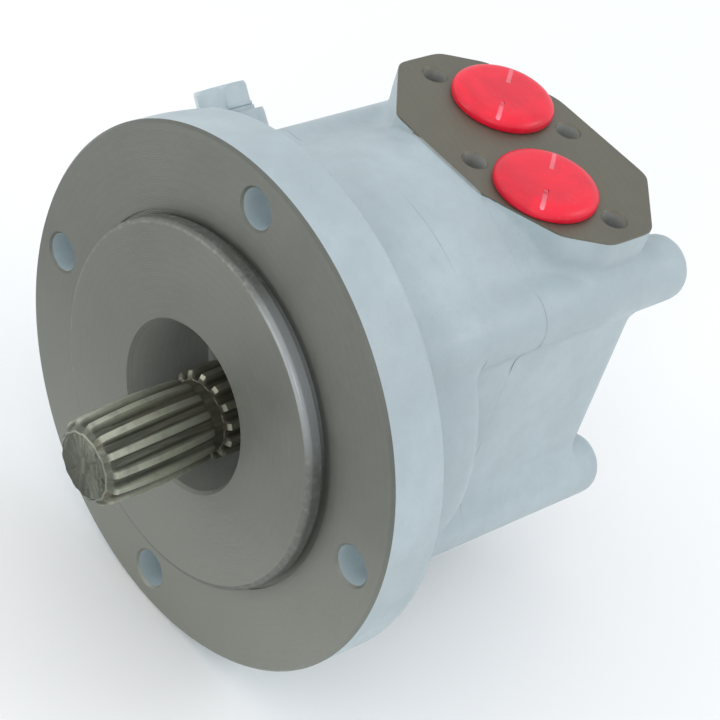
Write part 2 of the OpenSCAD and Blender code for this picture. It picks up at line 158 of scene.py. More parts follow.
class PumpPlugSizes(bpy.types.PropertyGroup):
    head_radius: length(
        "Head radius", "Radius of the round plug heads", (PLUG_A_HI.x - PLUG_A_LO.x) / 2
    )
    stem_radius: length("Stem radius", "Radius of the hollow stem inside the port", 0.0120)
    slot_width: length("Slot width", "Width of the slots across the head", 0.0016)
    slot_angle: turn("Slot angle", "Direction of the slots, seen from above", -51)


class PumpShaftSizes(bpy.types.PropertyGroup):
    spline_radius: length("Spline radius", "Outside radius of the crowned front spline", 0.0156)
    root_radius: length("Root radius", "Radius at the bottom of the spline's grooves", 0.0129)
    teeth: count("Teeth", "Number of teeth on the front spline", 14)
    droop: turn("Droop", "Angle by which the loose shaft hangs to its stop", 3.9)
    lean: turn("Lean", "Direction of the droop, turned from straight down", 22)


class PumpColours(bpy.types.PropertyGroup):
    primer: tint("Primer", "Colour of the pale primer on the castings", (0.425, 0.505, 0.525))
    bare_iron: tint(
        "Machined iron", "Colour of the bare turned face of the flange", (0.135, 0.142, 0.122)
    )
    pad_iron: tint("Milled iron", "Colour of the bare milled port face", (0.163, 0.157, 0.120))
    bore_iron: tint(
        "Bored iron",
        "Colour of the bored walls inside the flange and the ports",
        (0.42, 0.43, 0.40),
    )
    spline_steel: tint(
        "Spline steel", "Colour of the worn steel of the coupling shaft", (0.27, 0.285, 0.225)
    )
    plastic: tint("Plug plastic", "Colour of the red plastic port plugs", (0.82, 0.006, 0.032))


class PumpStageSizes(bpy.types.PropertyGroup):
    azimuth: turn("Camera azimuth", "Direction of the camera round the pump", 37.846)
    elevation: turn("Camera elevation", "Height angle of the camera over the pump axis", 38.795)
    roll: turn("Camera roll", "Turn of the camera about its line of sight", 19.378)
    distance: length(
        "Camera distance", "Distance of the camera from the flange's centre", 0.7514
    )
    pan_x: length(
        "Camera pan right", "Sideways place of the camera against the flange's centre", 0.05290
    )
    pan_y: length(
        "Camera pan up", "Upward place of the camera against the flange's centre", 0.01352
    )
    lens: FloatProperty(
        name="Lens",
        description="Focal length of the camera, in millimetres",
        default=114.48,
        unit="CAMERA",
    )


# ---- making and joining meshes ----


def turned(profile, closed=False, steps=96):
    """Turns a half section of (radius, y) points about the pump axis."""
    bm = bmesh.new()
    verts = [bm.verts.new((radius, y, 0)) for radius, y in profile]
    ends = verts[1:] + verts[:1] if closed else verts[1:]
    edges = [bm.edges.new(pair) for pair in zip(verts, ends)]
    bmesh.ops.spin(
        bm,
        geom=verts + edges,
        cent=(0, 0, 0),
        axis=(0, 1, 0),
        angle=math.tau,
        steps=steps,
        use_merge=True,
    )
    bmesh.ops.remove_doubles(bm, verts=bm.verts, dist=1e-7)
    bmesh.ops.recalc_face_normals(bm, faces=bm.faces)
    return bm


def swing(bm, verts, turned_by):
    bmesh.ops.rotate(bm, verts=verts, cent=(0, 0, 0), matrix=turned_by)


def round_bar(bm, height, radius, tip_radius, steps):
    return bmesh.ops.create_cone(
        bm,
        cap_ends=True,
        segments=steps,
        radius1=radius,
        radius2=radius if tip_radius is None else tip_radius,
        depth=height,
    )["verts"]


def rod(bm, y0, y1, radius, x=0.0, z=0.0, tip_radius=None, steps=64):
    """Adds a round bar along the pump axis from y0 to y1."""
    made = round_bar(bm, y1 - y0, radius, tip_radius, steps)
    swing(bm, made, ALONG_Y)
    bmesh.ops.translate(bm, verts=made, vec=(x, (y0 + y1) / 2, z))


def upright(bm, x, y, z0, z1, radius, tip_radius=None, steps=64):
    """Adds a round bar that stands along Z from z0 to z1."""
    made = round_bar(bm, z1 - z0, radius, tip_radius, steps)
    bmesh.ops.translate(bm, verts=made, vec=(x, y, (z0 + z1) / 2))
    return made


def block(bm, low, high):
    """Adds a box between two corners."""
    made = bmesh.ops.create_cube(bm, size=1)["verts"]
    low, high = Vector(low), Vector(high)
    bmesh.ops.scale(bm, verts=made, vec=high - low)
    bmesh.ops.translate(bm, verts=made, vec=(low + high) / 2)
    return made


def slab(bm, outline, y0, y1):
    """Extrudes an outline of (x, z) points from y0 to y1."""
    face = bm.faces.new([bm.verts.new((x, y0, z)) for x, z in outline])
    bmesh.ops.translate(bm, verts=extruded(bm, face).verts, vec=(0, y1 - y0, 0))
    bmesh.ops.recalc_face_normals(bm, faces=bm.faces)


def extruded(bm, face):
    """Extrudes one face in place and returns the new face at its end."""
    made = bmesh.ops.extrude_face_region(bm, geom=[face])["geom"]
    return next(part for part in made if isinstance(part, bmesh.types.BMFace))


def drawn_bar(corners, stations, shape):
    """A closed bar along the pump axis: shape lays its ring of corners at each station."""
    bm = bmesh.new()
    ring = bmesh.ops.create_circle(bm, cap_ends=True, segments=corners, radius=1)["verts"]
    swing(bm, ring, ALONG_Y)
    shape(ring, *stations[0])
    face = ring[0].link_faces[0]
    for station in stations[1:]:
        face = extruded(bm, face)
        shape(face.verts, *station)
    bmesh.ops.recalc_face_normals(bm, faces=bm.faces)
    return bm


def object_from(bm, name):
    mesh = bpy.data.meshes.new(name)
    bm.to_mesh(mesh)
    bm.free()
    obj = bpy.data.objects.new(name, mesh)
    bpy.context.scene.collection.objects.link(obj)
    return obj


def settle(obj):
    """Bakes an object's modifiers into its mesh."""
    depsgraph = bpy.context.evaluated_depsgraph_get()
    mesh = bpy.data.meshes.new_from_object(obj.evaluated_get(depsgraph))
    old = obj.data
    obj.modifiers.clear()
    obj.data = mesh
    mesh.name = obj.name
    bpy.data.meshes.remove(old)
    return obj


def discard(obj):
    mesh = obj.data
    bpy.data.objects.remove(obj)
    bpy.data.meshes.remove(mesh)


def carve(obj, tool_bm, operation="DIFFERENCE", solver="MANIFOLD"):
    """Cuts a tool out of an object, joins it on or keeps what both share."""
    tool = object_from(tool_bm, "tool")
    change = obj.modifiers.new("carve", "BOOLEAN")
    change.operation = operation
    change.solver = solver
    change.object = tool
    settle(obj)
    discard(tool)
    if not obj.data.polygons:
        raise RuntimeError(f"carving {obj.name} left nothing")


def ease_edges(obj, width, segments, degrees):
    """Rounds the edges that are sharper than an angle."""
    edge = obj.modifiers.new("eased_edges", "BEVEL")
    edge.width = width
    edge.segments = segments
    edge.limit_method = "ANGLE"
    edge.angle_limit = math.radians(degrees)
    settle(obj)


def copy_of(obj, name):
    twin = bpy.data.objects.new(name, obj.data.copy())
    bpy.context.scene.collection.objects.link(twin)
    return twin


def finish_piece(obj, body, materials, replaces=(), angle=32, bare=None):
    """Gives a finished piece its materials, smooth shading and its CAD body."""
    obj.data.materials.clear()
    for item in materials:
        obj.data.materials.append(item)
    if bare is not None:
        for face in obj.data.polygons:
            face.material_index = bare(face.center)
    obj.data.shade_smooth()
    obj.data.set_sharp_from_angle(angle=math.radians(angle))
    obj.data.name = obj.name
    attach(obj, body)
    if replaces:
        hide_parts(*replaces)


# ---- materials ----


class Finish:
    """A material under construction: makes nodes and joins their sockets by name."""

    def __init__(self, name, **surface):
        self.material = bpy.data.materials.new(name)
        self.material.use_nodes = True
        self.tree = self.material.node_tree
        self.shader = self.tree.nodes["Principled BSDF"]
        for socket, value in surface.items():
            self.shader.inputs[socket.replace("_", " ")].default_value = value
        self.place = self.tree.nodes.new("ShaderNodeTexCoord").outputs["Object"]

    def join(self, source, socket):
        if isinstance(source, bpy.types.NodeSocket):
            self.tree.links.new(source, socket)
        else:
            socket.default_value = source

    def math(self, operation, a, b=0.0, c=0.0):
        node = self.tree.nodes.new("ShaderNodeMath")
        node.operation = operation
        for value, socket in zip((a, b, c), node.inputs):
            self.join(value, socket)
        return node.outputs[0]

    def axes(self, place=None):
        node = self.tree.nodes.new("ShaderNodeSeparateXYZ")
        self.join(place or self.place, node.inputs[0])
        return node.outputs

    def round_axis(self, x, z):
        """Distance from the Y axis."""
        return self.math(
            "SQRT", self.math("ADD", self.math("MULTIPLY", x, x), self.math("MULTIPLY", z, z))
        )

    def marks(self, along, pitch):
        """Tool marks: a wave of one pitch along a coordinate."""
        return self.math("SINE", self.math("MULTIPLY", along, math.tau / pitch))

    def moved(self, shift=(0, 0, 0), turned_by=(0, 0, 0), size=(1, 1, 1), place=None):
        node = self.tree.nodes.new("ShaderNodeMapping")
        node.inputs["Location"].default_value = shift
        node.inputs["Rotation"].default_value = turned_by
        node.inputs["Scale"].default_value = size
        self.join(place or self.place, node.inputs["Vector"])
        return node.outputs[0]

    def noise(self, scale, detail=3.0, rough=0.55, place=None, distort=0.0):
        node = self.tree.nodes.new("ShaderNodeTexNoise")
        node.inputs["Scale"].default_value = scale
        node.inputs["Detail"].default_value = detail
        node.inputs["Roughness"].default_value = rough
        node.inputs["Distortion"].default_value = distort
        self.join(place or self.place, node.inputs["Vector"])
        return node.outputs["Fac"]

    def ramp(self, value, low, high, low_out=0.0, high_out=1.0):
        node = self.tree.nodes.new("ShaderNodeMapRange")
        node.interpolation_type = "SMOOTHSTEP"
        self.join(value, node.inputs["Value"])
        for socket, number in (
            ("From Min", low),
            ("From Max", high),
            ("To Min", low_out),
            ("To Max", high_out),
        ):
            node.inputs[socket].default_value = number
        return node.outputs["Result"]

    def blend(self, factor, a, b):
        node = self.tree.nodes.new("ShaderNodeMix")
        node.data_type = "RGBA"
        self.join(factor, node.inputs["Factor"])
        for value, socket in ((a, node.inputs["A"]), (b, node.inputs["B"])):
            if isinstance(value, tuple):
                value = (*value[:3], 1.0)
            self.join(value, socket)
        return node.outputs["Result"]

    def bump(self, height, strength, depth, under=None):
        node = self.tree.nodes.new("ShaderNodeBump")
        node.inputs["Strength"].default_value = strength
        node.inputs["Distance"].default_value = depth
        self.join(height, node.inputs["Height"])
        if under is not None:
            self.join(under, node.inputs["Normal"])
        return node.outputs["Normal"]

    def wear(self, colour, roughness=None, normal=None):
        for socket, value in (
            ("Base Color", colour),
            ("Roughness", roughness),
            ("Normal", normal),
        ):
            if value is not None:
                self.join(value, self.shader.inputs[socket])
        return self.material


def shade(colour, factor):
    return tuple(min(1.0, part * factor) for part in colour)


def primer_on_iron(name, colour, joints=(), slit=None):
    """Pale primer over cast iron: soft mottling, fine cast skin and thin filled joint lines."""
    f = Finish(name, Roughness=0.42, Specular_IOR_Level=0.42)
    clouds = f.noise(22, 4, 0.6)
    mottle = f.noise(150, 3, 0.6)
    skin = f.noise(620, 3, 0.65)
    pits = f.ramp(f.noise(1300, 2, 0.5), 0.62, 0.75)
    tone = f.blend(f.ramp(clouds, 0.35, 0.68), shade(colour, 0.93), shade(colour, 1.05))
    tone = f.blend(f.ramp(mottle, 0.3, 0.75, 0.0, 0.22), tone, shade(colour, 0.80))
    grime = f.math("MULTIPLY", f.ramp(f.noise(48, 5, 0.7), 0.60, 0.80), 0.22)
    tone = f.blend(grime, tone, (0.30, 0.31, 0.30))
    tone = f.blend(f.math("MULTIPLY", pits, 0.18), tone, shade(colour, 0.62))
    height = f.math("ADD", f.math("MULTIPLY", skin, 0.8), f.math("MULTIPLY", pits, -0.35))
    x, y, z = f.axes()
    for joint in joints:
        wander = f.math("MULTIPLY_ADD", f.noise(90, 2, 0.5), 0.0005, joint - 0.00025)
        off = f.math("ABSOLUTE", f.math("SUBTRACT", y, wander))
        seam = f.math("SUBTRACT", 1.0, f.ramp(off, 0.00008, 0.00042))
        open_part = f.ramp(f.noise(31, 2, 0.6), 0.45, 0.70, 0.03, 0.34)
        mark = f.math("MULTIPLY", seam, open_part)
        if slit:
            slit_x, slit_z, reach = slit
            corner = f.math("ABSOLUTE", f.math("SUBTRACT", z, slit_z))
            near = f.math("SUBTRACT", 1.0, f.ramp(corner, reach * 0.5, reach))
            side = f.math("MULTIPLY", near, f.ramp(x, slit_x - 0.002, slit_x))
            mark = f.math("MAXIMUM", mark, f.math("MULTIPLY", seam, side))
        tone = f.blend(mark, tone, (0.06, 0.062, 0.06))
        height = f.math("MULTIPLY_ADD", mark, -1.4, height)
    rough = f.ramp(f.noise(60, 3, 0.6), 0.3, 0.7, 0.36, 0.52)
    normal = f.bump(height, 0.32, 0.00035)
    normal = f.bump(f.noise(95, 2, 0.5), 0.30, 0.0012, normal)
    return f.wear(tone, rough, normal)


FINE_MARKS, COARSE_MARKS = 0.00055, 0.0031  # pitch of the tool marks


def machined_iron(name, colour, marks="rings", oil=0.35, metal=0.55):
    """Bare machined iron with tool marks: turned rings, straight milling or a bored wall."""
    f = Finish(name, Metallic=metal, Specular_IOR_Level=0.5)
    x, y, z = f.axes()
    if marks == "rings":
        along = f.round_axis(x, z)
    elif marks == "mill":
        along = f.math("ADD", f.math("MULTIPLY", x, 0.32), y)
    else:
        along = y
    wander = f.math("MULTIPLY", f.noise(30, 2, 0.5), 0.0012)
    line = f.math("ADD", along, wander)
    fine, coarse = f.marks(line, FINE_MARKS), f.marks(line, COARSE_MARKS)
    stain = f.ramp(f.noise(26, 4, 0.65), 0.38, 0.72)
    fleck = f.ramp(f.noise(420, 3, 0.7), 0.45, 0.75)
    tone = f.blend(f.math("MULTIPLY", stain, oil), colour, shade(colour, 0.62))
    tone = f.blend(f.math("MULTIPLY", fleck, 0.25), tone, shade(colour, 1.35))
    tone = f.blend(f.math("MULTIPLY_ADD", coarse, 0.05, 0.05), tone, shade(colour, 0.7))
    if marks == "rings":  # the lower part of a turned face is painted lighter, a painted pool of light
        painted_light = f.ramp(f.math("MULTIPLY_ADD", x, -0.3, z), -0.085, 0.030, 0.60, 0.0)
        tone = f.blend(painted_light, tone, shade(colour, 2.0))
    height = f.math("MULTIPLY_ADD", coarse, 0.35, fine)
    roughness = f.math("MULTIPLY_ADD", stain, -0.08, f.ramp(fleck, 0.0, 1.0, 0.46, 0.56))
    return f.wear(tone, roughness, f.bump(height, 0.22, 0.00006))


def painted_highlight_edge(name, dull, bright):
    """Edge and wall of the pilot: dull iron with a painted highlight along its upper right."""
    f = Finish(name, Metallic=0.35, Specular_IOR_Level=0.5)
    x, y, z = f.axes()
    # painted highlight: the edge and wall turn bright towards their upper right
    reach = f.math("MULTIPLY_ADD", x, 0.64, f.math("MULTIPLY", z, 0.77))
    reach = f.math("MULTIPLY_ADD", f.noise(30, 2, 0.5), 0.004, reach)
    highlight_mask = f.ramp(reach, 0.0560, 0.0665)
    tone = f.blend(highlight_mask, dull, bright)
    tone = f.blend(f.ramp(f.noise(420, 3, 0.7), 0.45, 0.75, 0.0, 0.25), tone, shade(bright, 1.1))
    normal = f.bump(f.marks(y, FINE_MARKS), 0.15, 0.00005)
    return f.wear(tone, f.ramp(highlight_mask, 0.0, 1.0, 0.48, 0.26), normal)


def turned_metal(name, colour, metal=0.9, rough=0.34, scale=1.0, dirt=0.3):
    """Plain worked metal with fine scratches and a little dirt."""
    f = Finish(name, Metallic=metal, Specular_IOR_Level=0.5)
    scratch = f.noise(900 * scale, 3, 0.7, f.moved(size=(1.0, 0.12, 1.0)))
    smudge = f.noise(70 * scale, 4, 0.65)
    tone = f.blend(f.ramp(smudge, 0.4, 0.75, 0.0, dirt), colour, shade(colour, 0.45))
    tone = f.blend(f.ramp(scratch, 0.5, 0.75, 0.0, 0.3), tone, shade(colour, 1.4))
    roughness = f.ramp(smudge, 0.3, 0.7, rough - 0.07, rough + 0.12)
    return f.wear(tone, roughness, f.bump(scratch, 0.2, 0.00008))


def worn_spline(name, colour, sizes):
    """Spline steel: bright tooth tops, dark oily grooves, and an end darker towards the inside of the
    pump, oil with painted shade.
    """
    f = Finish(name, Metallic=0.72, Specular_IOR_Level=0.5)
    tilt = droop_turn(sizes).to_3x3().inverted()
    local = f.moved(shift=tilt @ -SHAFT_PIVOT, turned_by=tilt.to_euler("XYZ"))
    x, y, z = f.axes(local)
    radius = f.round_axis(x, z)
    marks = f.noise(700, 4, 0.7, f.moved(size=(1.0, 0.07, 1.0), place=local))
    blotch = f.noise(120, 4, 0.65)
    top = f.ramp(radius, sizes.root_radius + 0.0004, sizes.spline_radius - 0.0005)
    wear_and_highlight = f.math("MULTIPLY", top, f.ramp(blotch, 0.25, 0.6, 0.45, 1.0))
    tone = f.blend(wear_and_highlight, shade(colour, 0.42), shade(colour, 1.75))
    tone = f.blend(f.ramp(blotch, 0.5, 0.8, 0.0, 0.5), tone, (0.20, 0.135, 0.085))
    tone = f.blend(f.ramp(marks, 0.45, 0.75, 0.0, 0.35), tone, shade(colour, 1.7))
    # darker towards the inside of the bore: oil, and painted shade of the bore
    tone = f.blend(f.ramp(y, -0.122, -0.072, 0.0, 0.62), tone, (0.085, 0.075, 0.050))
    rough = f.math("MULTIPLY_ADD", wear_and_highlight, -0.16, f.ramp(marks, 0.3, 0.7, 0.46, 0.58))
    return f.wear(tone, rough, f.bump(marks, 0.25, 0.0001))


def moulded_red(name, colour):
    """Bright moulded plastic with faint flow marks and scuffs."""
    f = Finish(
        name,
        Roughness=0.33,
        Specular_IOR_Level=0.5,
        Subsurface_Weight=0.12,
        Subsurface_Scale=0.004,
        Subsurface_Radius=(1.0, 0.25, 0.18),
    )
    flow = f.noise(55, 3, 0.55, distort=0.6)
    scuff = f.ramp(f.noise(480, 4, 0.75), 0.58, 0.74)
    tone = f.blend(f.ramp(flow, 0.35, 0.7), shade(colour, 0.86), shade(colour, 1.08))
    tone = f.blend(f.math("MULTIPLY", scuff, 0.10), tone, (0.95, 0.42, 0.45))
    rough = f.math("MULTIPLY_ADD", scuff, 0.16, f.ramp(flow, 0.3, 0.7, 0.28, 0.38))
    return f.wear(tone, rough, f.bump(f.noise(260, 3, 0.6), 0.18, 0.00025))


def seal_rubber(name):
    """Matte black rubber with a dusty bloom."""
    f = Finish(name, Roughness=0.7, Specular_IOR_Level=0.35)
    bloom = f.noise(160, 4, 0.65)
    tone = f.blend(f.ramp(bloom, 0.4, 0.75), (0.018, 0.018, 0.019), (0.055, 0.054, 0.05))
    rough = f.ramp(bloom, 0.3, 0.7, 0.55, 0.8)
    return f.wear(tone, rough, f.bump(f.noise(700, 3, 0.6), 0.25, 0.00008))


def pale_paper(name):
    """Off-white sheet under the pump, with the faintest unevenness."""
    f = Finish(name, Roughness=0.85, Specular_IOR_Level=0.2)
    tone = f.blend(f.noise(3, 3, 0.5), (0.92, 0.925, 0.915), (0.95, 0.95, 0.94))
    return f.wear(tone)


# ---- the castings ----


def body_shells(sizes):
    """The rough casting as overlapping closed shells: flange, barrel, body, ridges, pad and boss."""
    c, ridge, half = sizes.corner, sizes.ridge_radius, sizes.body_half
    start, rear, barrel = 0.016, sizes.rear_face, sizes.barrel_radius
    blend = 0.016
    bm = bmesh.new()
    rod(bm, -0.010, sizes.flange_thickness, sizes.flange_radius + 0.002, steps=160)
    rod(bm, start, PLATE_LO.y - 0.004, barrel, steps=144)
    rod(bm, PLATE_LO.y - 0.0041, PLATE_LO.y, barrel, tip_radius=barrel - 0.004, steps=144)
    block(bm, (-half, start, -c), (half, rear, c))
    block(bm, (-c, start, -half), (c, rear, half))
    for sx in (-1, 1):
        for sz in (-1, 1):
            rod(bm, start, PORT_HI.y - 0.003, ridge, sx * c, sz * c)
            rod(bm, PORT_HI.y - 0.0031, PORT_HI.y, ridge, sx * c, sz * c, tip_radius=ridge - 0.003)
            for wedge in (
                [(0, 0), (c + ridge, c), (half, c - blend)],
                [(0, 0), (c, c + ridge), (c - blend, half)],
            ):
                slab(bm, [(sx * x, sz * z) for x, z in wedge], start, rear)
    arc = [math.radians(45 + 90 * k / 36) for k in range(37)]
    saddle = [(barrel * math.cos(a), barrel * math.sin(a)) for a in arc]
    slab(bm, [(0, 0), *saddle], start, rear)
    pad_shell(bm, sizes)
    swing(bm, upright(bm, 0, DRAIN_Y, 0.030, DRAIN_SEAT + 0.002, 0.013), TO_BOSS)
    return bm


PAD_HALF_X, PAD_HALF_Y = 0.0535, 0.033


def pad_outline():
    """Corners of the port face, seen from above, about the pad's middle."""
    hx, hy = PAD_HALF_X, PAD_HALF_Y
    half = [(-0.56 * hx, -hy), (0.30 * hx, -hy), (0.80 * hx, -0.66 * hy), (hx, -0.22 * hy)]
    return [*half, (hx, 0.36 * hy), *[(-x, -y) for x, y in half], (-hx, -0.36 * hy)]


def pad_shell(bm, sizes):
    """The block under the port face: a straight skirt, then sides that run in to the body."""
    middle = PLATE_HI.y + 0.0005 + PAD_HALF_Y
    top = PORT_HI.z + 0.005  # the port face is cut below this
    ring = [bm.verts.new((x, middle + y, top)) for x, y in pad_outline()]
    face = bm.faces.new(ring)
    for depth, reach, rear in (
        (0.014, PAD_HALF_X, 0.1525),
        (0.018, sizes.corner, sizes.rear_face),
        (0.030, 0.020, sizes.rear_face),
    ):
        face = extruded(bm, face)
        for vert in face.verts:
            vert.co.z -= depth
            vert.co.x = max(-reach, min(reach, vert.co.x))
            vert.co.y = min(rear, vert.co.y)
    bmesh.ops.recalc_face_normals(bm, faces=bm.faces)


def rough_casting(sizes):
    """One soft solid for all three castings, so that their skins run on over the joints."""
    rough = object_from(body_shells(sizes), "rough_casting")
    grain = rough.modifiers.new("grain", "REMESH")
    grain.mode = "VOXEL"
    grain.voxel_size = sizes.grain * 1.0
    grain.use_smooth_shade = True
    soft = rough.modifiers.new("soft", "SMOOTH")
    soft.factor = 0.5
    soft.iterations = sizes.softening
    return settle(rough)


def hole_set(obj, rods):
    """Drills round holes along the pump axis, given as (y0, y1, radius, x, z)."""
    for y0, y1, radius, x, z in rods:
        tool = bmesh.new()
        rod(tool, y0, y1, radius, x, z, steps=96 if radius > 0.012 else 48)
        carve(obj, tool)


def from_corner(c, sizes):
    """Distance of a face from the nearest housing screw's axis."""
    return math.hypot(abs(c.x) - sizes.corner, abs(c.z) - sizes.corner)


def corner_places(sizes):
    return [(sx * sizes.corner, sz * sizes.corner) for sx in (-1, 1) for sz in (-1, 1)]


def quarter(radius, turned_by=0):
    """Points of a quarter round about (0, 0)."""
    turns = [math.radians(15 * k + turned_by) for k in range(7)]
    return [(radius * math.cos(a), radius * math.sin(a)) for a in turns]


def flange_envelope(sizes):
    """What the lathe leaves of the flange: pilot, relief, mounting face, chamfer and rim."""
    r, t, p, h = sizes.flange_radius, sizes.flange_thickness, sizes.pilot_radius, sizes.pilot_height
    edge, relief, dip, chamfer = 0.002, 0.0015, 0.0006, 0.001
    profile = [
        (0, -h),
        *[(p - edge + a, -h + edge + b) for a, b in quarter(edge, -90)],
        (p, -0.002),
        (p - relief, -0.002),
        (p - relief, dip),
        (p + relief, dip),
        (p + relief, 0),
        (r - chamfer, 0),
        (r, chamfer),
        *[(r - 0.002 + a, t - 0.0019 + b) for a, b in quarter(0.002)],
        (r + 0.020, t + 0.0002),
        (r + 0.020, PLATE_LO.y),
        (0, PLATE_LO.y),
    ]
    return turned(profile, steps=192)


# Slots of each casting's materials.
# the last slot is the pilot's edge, which carries a painted highlight
PAINTED, TURNED, BORED, EDGE_HIGHLIGHT = range(4)
PLATE_BORED = 1
MILLED = 1


def flange_casting(rough, sizes):
    piece = copy_of(rough, "flange_casting")
    carve(piece, flange_envelope(sizes), "INTERSECT")
    b, d, front = sizes.bore_radius, sizes.bore_depth, -sizes.pilot_height
    mouth, seal, groove, back = 0.0012, 0.02452, 0.0260, 0.07
    stepped = [
        (0, -0.02),
        (b + mouth, -0.02),
        (b + mouth, front),
        (b, front + mouth),
        (b, d - 0.001),
        (b - 0.001, d),
        (seal, d),
        (seal, d + 0.0005),
        (groove, d + 0.0005),
        (groove, d + 0.0022),
        (seal, d + 0.0022),
        (seal, 0.0385),
        (0.0220, 0.0385),
        (0.0220, 0.0435),
        (BUSH_HOLE, 0.0435),
        (BUSH_HOLE, back),
        (0, back),
    ]
    carve(piece, turned(stepped, steps=128))
    hole, chamfer, far = sizes.bolt_hole_radius, 0.0008, 0.03
    drill = [
        (0, -0.01),
        (hole + chamfer, -0.01),
        (hole + chamfer, 0),
        (hole, chamfer),
        (hole, far),
        (0, far),
    ]
    for k in range(4):
        a = k * math.pi / 2
        x, z = sizes.bolt_circle_radius * math.cos(a), sizes.bolt_circle_radius * math.sin(a)
        tool = turned(drill, steps=64)
        bmesh.ops.translate(tool, verts=tool.verts, vec=(x, 0, z))
        carve(piece, tool)
    holes = [(0.045, back, 0.00506, x, z) for x, z in corner_places(sizes)]
    holes += [(0.0435, back, DRIVEN_HOLE, 0, GEAR_SPREAD)]
    holes += [(0.05298, back, DOWEL_HOLE, x, z) for x, z in DOWEL_PLACES]
    hole_set(piece, holes)
    for start, radius in ((DRAIN_SEAT, 0.03), (0.074, 0.00656), (0.0195, 0.0022)):
        tool = bmesh.new()
        upright(tool, 0, DRAIN_Y, start, 0.12, radius)
        swing(tool, tool.verts, TO_BOSS)
        carve(piece, tool)
    carve(piece, ring_groove(PLATE_LO.y - 0.00265, PLATE_LO.y + 0.01))

    def bare(c):
        r = math.hypot(c.x, c.z)
        if r < b + mouth + 0.0001:
            return BORED if c.y > front + mouth - HAIR else TURNED
        # the pilot's edge and wall take the material with the painted highlight
        if r > sizes.pilot_radius - 0.0021 and front + 0.00001 < c.y < -HAIR:
            return EDGE_HIGHLIGHT
        off = math.hypot(r - sizes.bolt_circle_radius, min(abs(c.x), abs(c.z)))
        if off < hole + 0.0001 and chamfer + 0.00001 < c.y < far:
            return PAINTED
        mating = c.y > PLATE_LO.y - HAIR and abs(c.x) < 0.062  # the barrel stands past the plate
        return TURNED if c.y < 0.001 + HAIR or mating else PAINTED

    return piece, bare


def ring_groove(y0, y1):
    """A tool for the groove of a joint ring."""
    inner, outer = 0.0461, 0.0489
    tool = turned([(inner, y0), (outer, y0), (outer, y1), (inner, y1)], closed=True, steps=128)
    bmesh.ops.translate(tool, verts=tool.verts, vec=(0, 0, GEAR_MIDDLE))
    return tool


def gear_plate_casting(rough, sizes):
    piece = copy_of(rough, "gear_plate_casting")
    keep = bmesh.new()
    block(keep, (-0.2, PLATE_LO.y, -0.2), (0.2, PLATE_HI.y, PORT_HI.z - 0.0008))
    carve(piece, keep, "INTERSECT")
    y0, y1 = PLATE_LO.y - 0.01, PLATE_HI.y + 0.01
    step = PLATE_LO.y + 0.0035
    holes = [(y0, y1, 0.0241, 0, z) for z in (0, GEAR_SPREAD)]
    holes += [(step, y1, GALLERY_RADIUS, s * GALLERY_X, GEAR_MIDDLE) for s in (-1, 1)]
    holes += [(y0, y1, SCREW_HOLE, x, z) for x, z in corner_places(sizes)]
    holes += [(y0, PLATE_LO.y + DOWEL_DEPTH, DOWEL_HOLE, x, z) for x, z in DOWEL_PLACES]
    holes += [(PLATE_HI.y - DOWEL_DEPTH, y1, DOWEL_HOLE, x, z) for x, z in DOWEL_PLACES]
    hole_set(piece, holes)
    slot = bmesh.new()
    block(slot, (-GALLERY_X, step, 0.015), (GALLERY_X, y1, 0.027))
    carve(piece, slot)

    def bare(c):
        within = max(abs(c.x) - 0.03, abs(c.z - 0.015) - 0.05) < 0
        inside = within and math.hypot(c.x, c.z) < 0.068
        at_screw = from_corner(c, sizes) < SCREW_HOLE + 0.0002
        ends = min(c.y - PLATE_LO.y, PLATE_HI.y - c.y) < 0.00003
        return PLATE_BORED if inside or at_screw or ends else PAINTED

    return piece, bare


def port_casting(rough, sizes):
    piece = copy_of(rough, "port_casting")
    keep = bmesh.new()
    block(keep, (-0.2, PLATE_HI.y, -0.2), (0.2, PORT_HI.y, PORT_HI.z))
    carve(piece, keep, "INTERSECT")
    y0, top = PLATE_HI.y - 0.01, PORT_HI.z
    holes = [(y0, y, GALLERY_RADIUS, s * GALLERY_X, GEAR_MIDDLE) for s, y in PORT_SPOTS]
    holes += [
        (y0, PLATE_HI.y + 0.015, BUSH_HOLE, 0, 0),
        (y0, PLATE_HI.y + 0.015, DRIVEN_HOLE, 0, GEAR_SPREAD),
    ]
    for x, z in corner_places(sizes):
        holes += [(y0, 0.2, SCREW_HOLE, x, z), (SCREW_SEAT, 0.2, 0.009, x, z)]
    holes += [(y0, PLATE_HI.y + DOWEL_DEPTH, DOWEL_HOLE, x, z) for x, z in DOWEL_PLACES]
    hole_set(piece, holes)
    ports = [(s * PORT_X, y) for s, y in PORT_SPOTS]
    tapped = [(x + t * 0.0215, y + t * 0.013) for x, y in ports for t in (-1, 1)]
    tapped_hole, over = 0.00425, top + 0.01
    for n, (x, y) in enumerate(ports):
        cuts = [(x, y, 0.0165, top - 0.01, 0.008), (x, y, top - 0.018, over, 0.0121)]
        for screw_x, screw_y in tapped[2 * n : 2 * n + 2]:
            cuts += [(screw_x, screw_y, top - 0.016, over, tapped_hole)]
            mouth = bmesh.new()
            upright(
                mouth, screw_x, screw_y, top - 0.0007, top + 0.0013, tapped_hole, 0.00625, steps=48
            )
            carve(piece, mouth)
        for cut in cuts:
            tool = bmesh.new()
            upright(tool, *cut)
            carve(piece, tool)
    carve(piece, ring_groove(y0, PLATE_HI.y + 0.00265))

    def bare(c):
        if c.z > top - 0.00095:
            return MILLED
        in_port = c.z > 0.05 and any(math.hypot(c.x - x, c.y - y) < 0.0123 for x, y in ports)
        in_tapped = c.z > 0.058 and any(math.hypot(c.x - x, c.y - y) < 0.0065 for x, y in tapped)
        at_screw = from_corner(c, sizes) < 0.0092
        inside = math.hypot(c.x, c.z) < 0.035 and c.y < sizes.rear_face - 0.003
        mating = c.y < PLATE_HI.y + HAIR
        return BORED if in_port or in_tapped or at_screw or inside or mating else PAINTED

    return piece, bare


